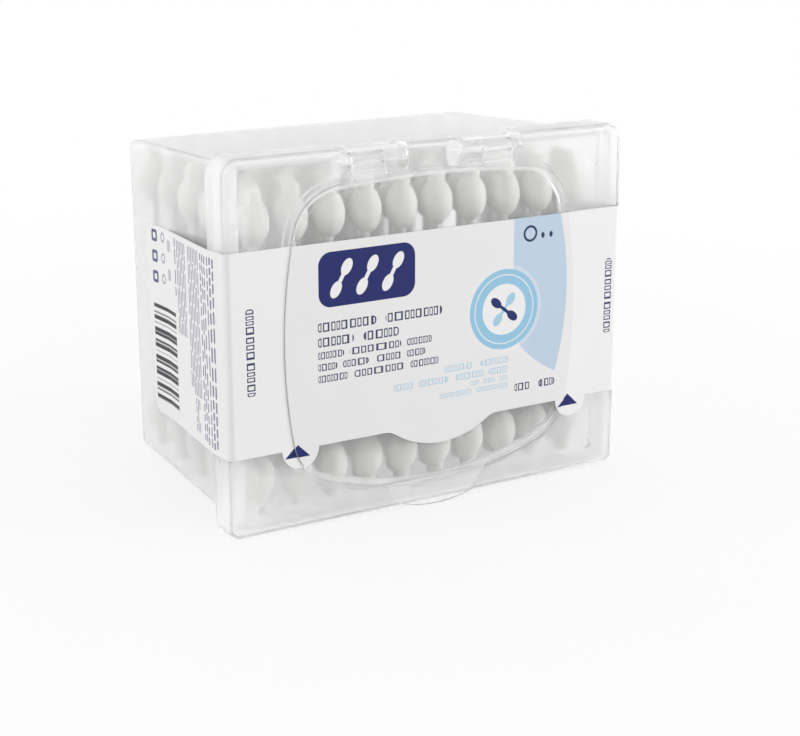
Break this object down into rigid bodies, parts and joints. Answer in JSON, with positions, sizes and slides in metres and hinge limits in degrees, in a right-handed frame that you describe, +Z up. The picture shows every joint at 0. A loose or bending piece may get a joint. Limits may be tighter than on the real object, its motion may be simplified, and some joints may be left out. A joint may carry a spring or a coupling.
{
  "type": "cotton swab box",
  "caption": "Frosted plastic box of upright cotton swabs with a clear front door that flips up on a hinge at the top and a paper label wrapped round the front and sides",
  "frame": {"origin": "middle of the footprint, on the surface that the box stands on", "axes": "+X to the box's right seen from the front, +Y from the door to the tray's back, +Z up"},
  "size_m": [0.1022, 0.0678, 0.0822],
  "materials": {
    "frosted": "frosted",
    "clear": "clear",
    "label": "coated",
    "sticks": "matt",
    "cotton": "soft"
  },
  "bodies": {
    "case": {"tray": "frosted", "front_cover": "frosted", "label_left": "label", "label_right": "label", "sticks_row_1": "sticks", "cotton_upper_row_1": "cotton", "cotton_lower_row_1": "cotton", "sticks_row_2": "sticks", "cotton_upper_row_2": "cotton", "cotton_lower_row_2": "cotton", "sticks_row_3": "sticks", "cotton_upper_row_3": "cotton", "cotton_lower_row_3": "cotton", "sticks_row_4": "sticks", "cotton_upper_row_4": "cotton", "cotton_lower_row_4": "cotton", "sticks_row_5": "sticks", "cotton_upper_row_5": "cotton", "cotton_lower_row_5": "cotton", "sticks_row_6": "sticks", "cotton_upper_row_6": "cotton", "cotton_lower_row_6": "cotton", "sticks_row_7": "sticks", "cotton_upper_row_7": "cotton", "cotton_lower_row_7": "cotton", "sticks_row_8": "sticks", "cotton_upper_row_8": "cotton", "cotton_lower_row_8": "cotton", "sticks_row_9": "sticks", "cotton_upper_row_9": "cotton", "cotton_lower_row_9": "cotton"},
    "door": {"flip_door": "clear", "label_door": "label"}
  },
  "joints": [
    {"name": "door_hinge", "type": "hinge", "parent": "case", "child": "door", "pos_m": [0, -0.02477, 0.07948], "axis": [-1, 0, 0], "range_deg": [0, 120]}
  ]
}
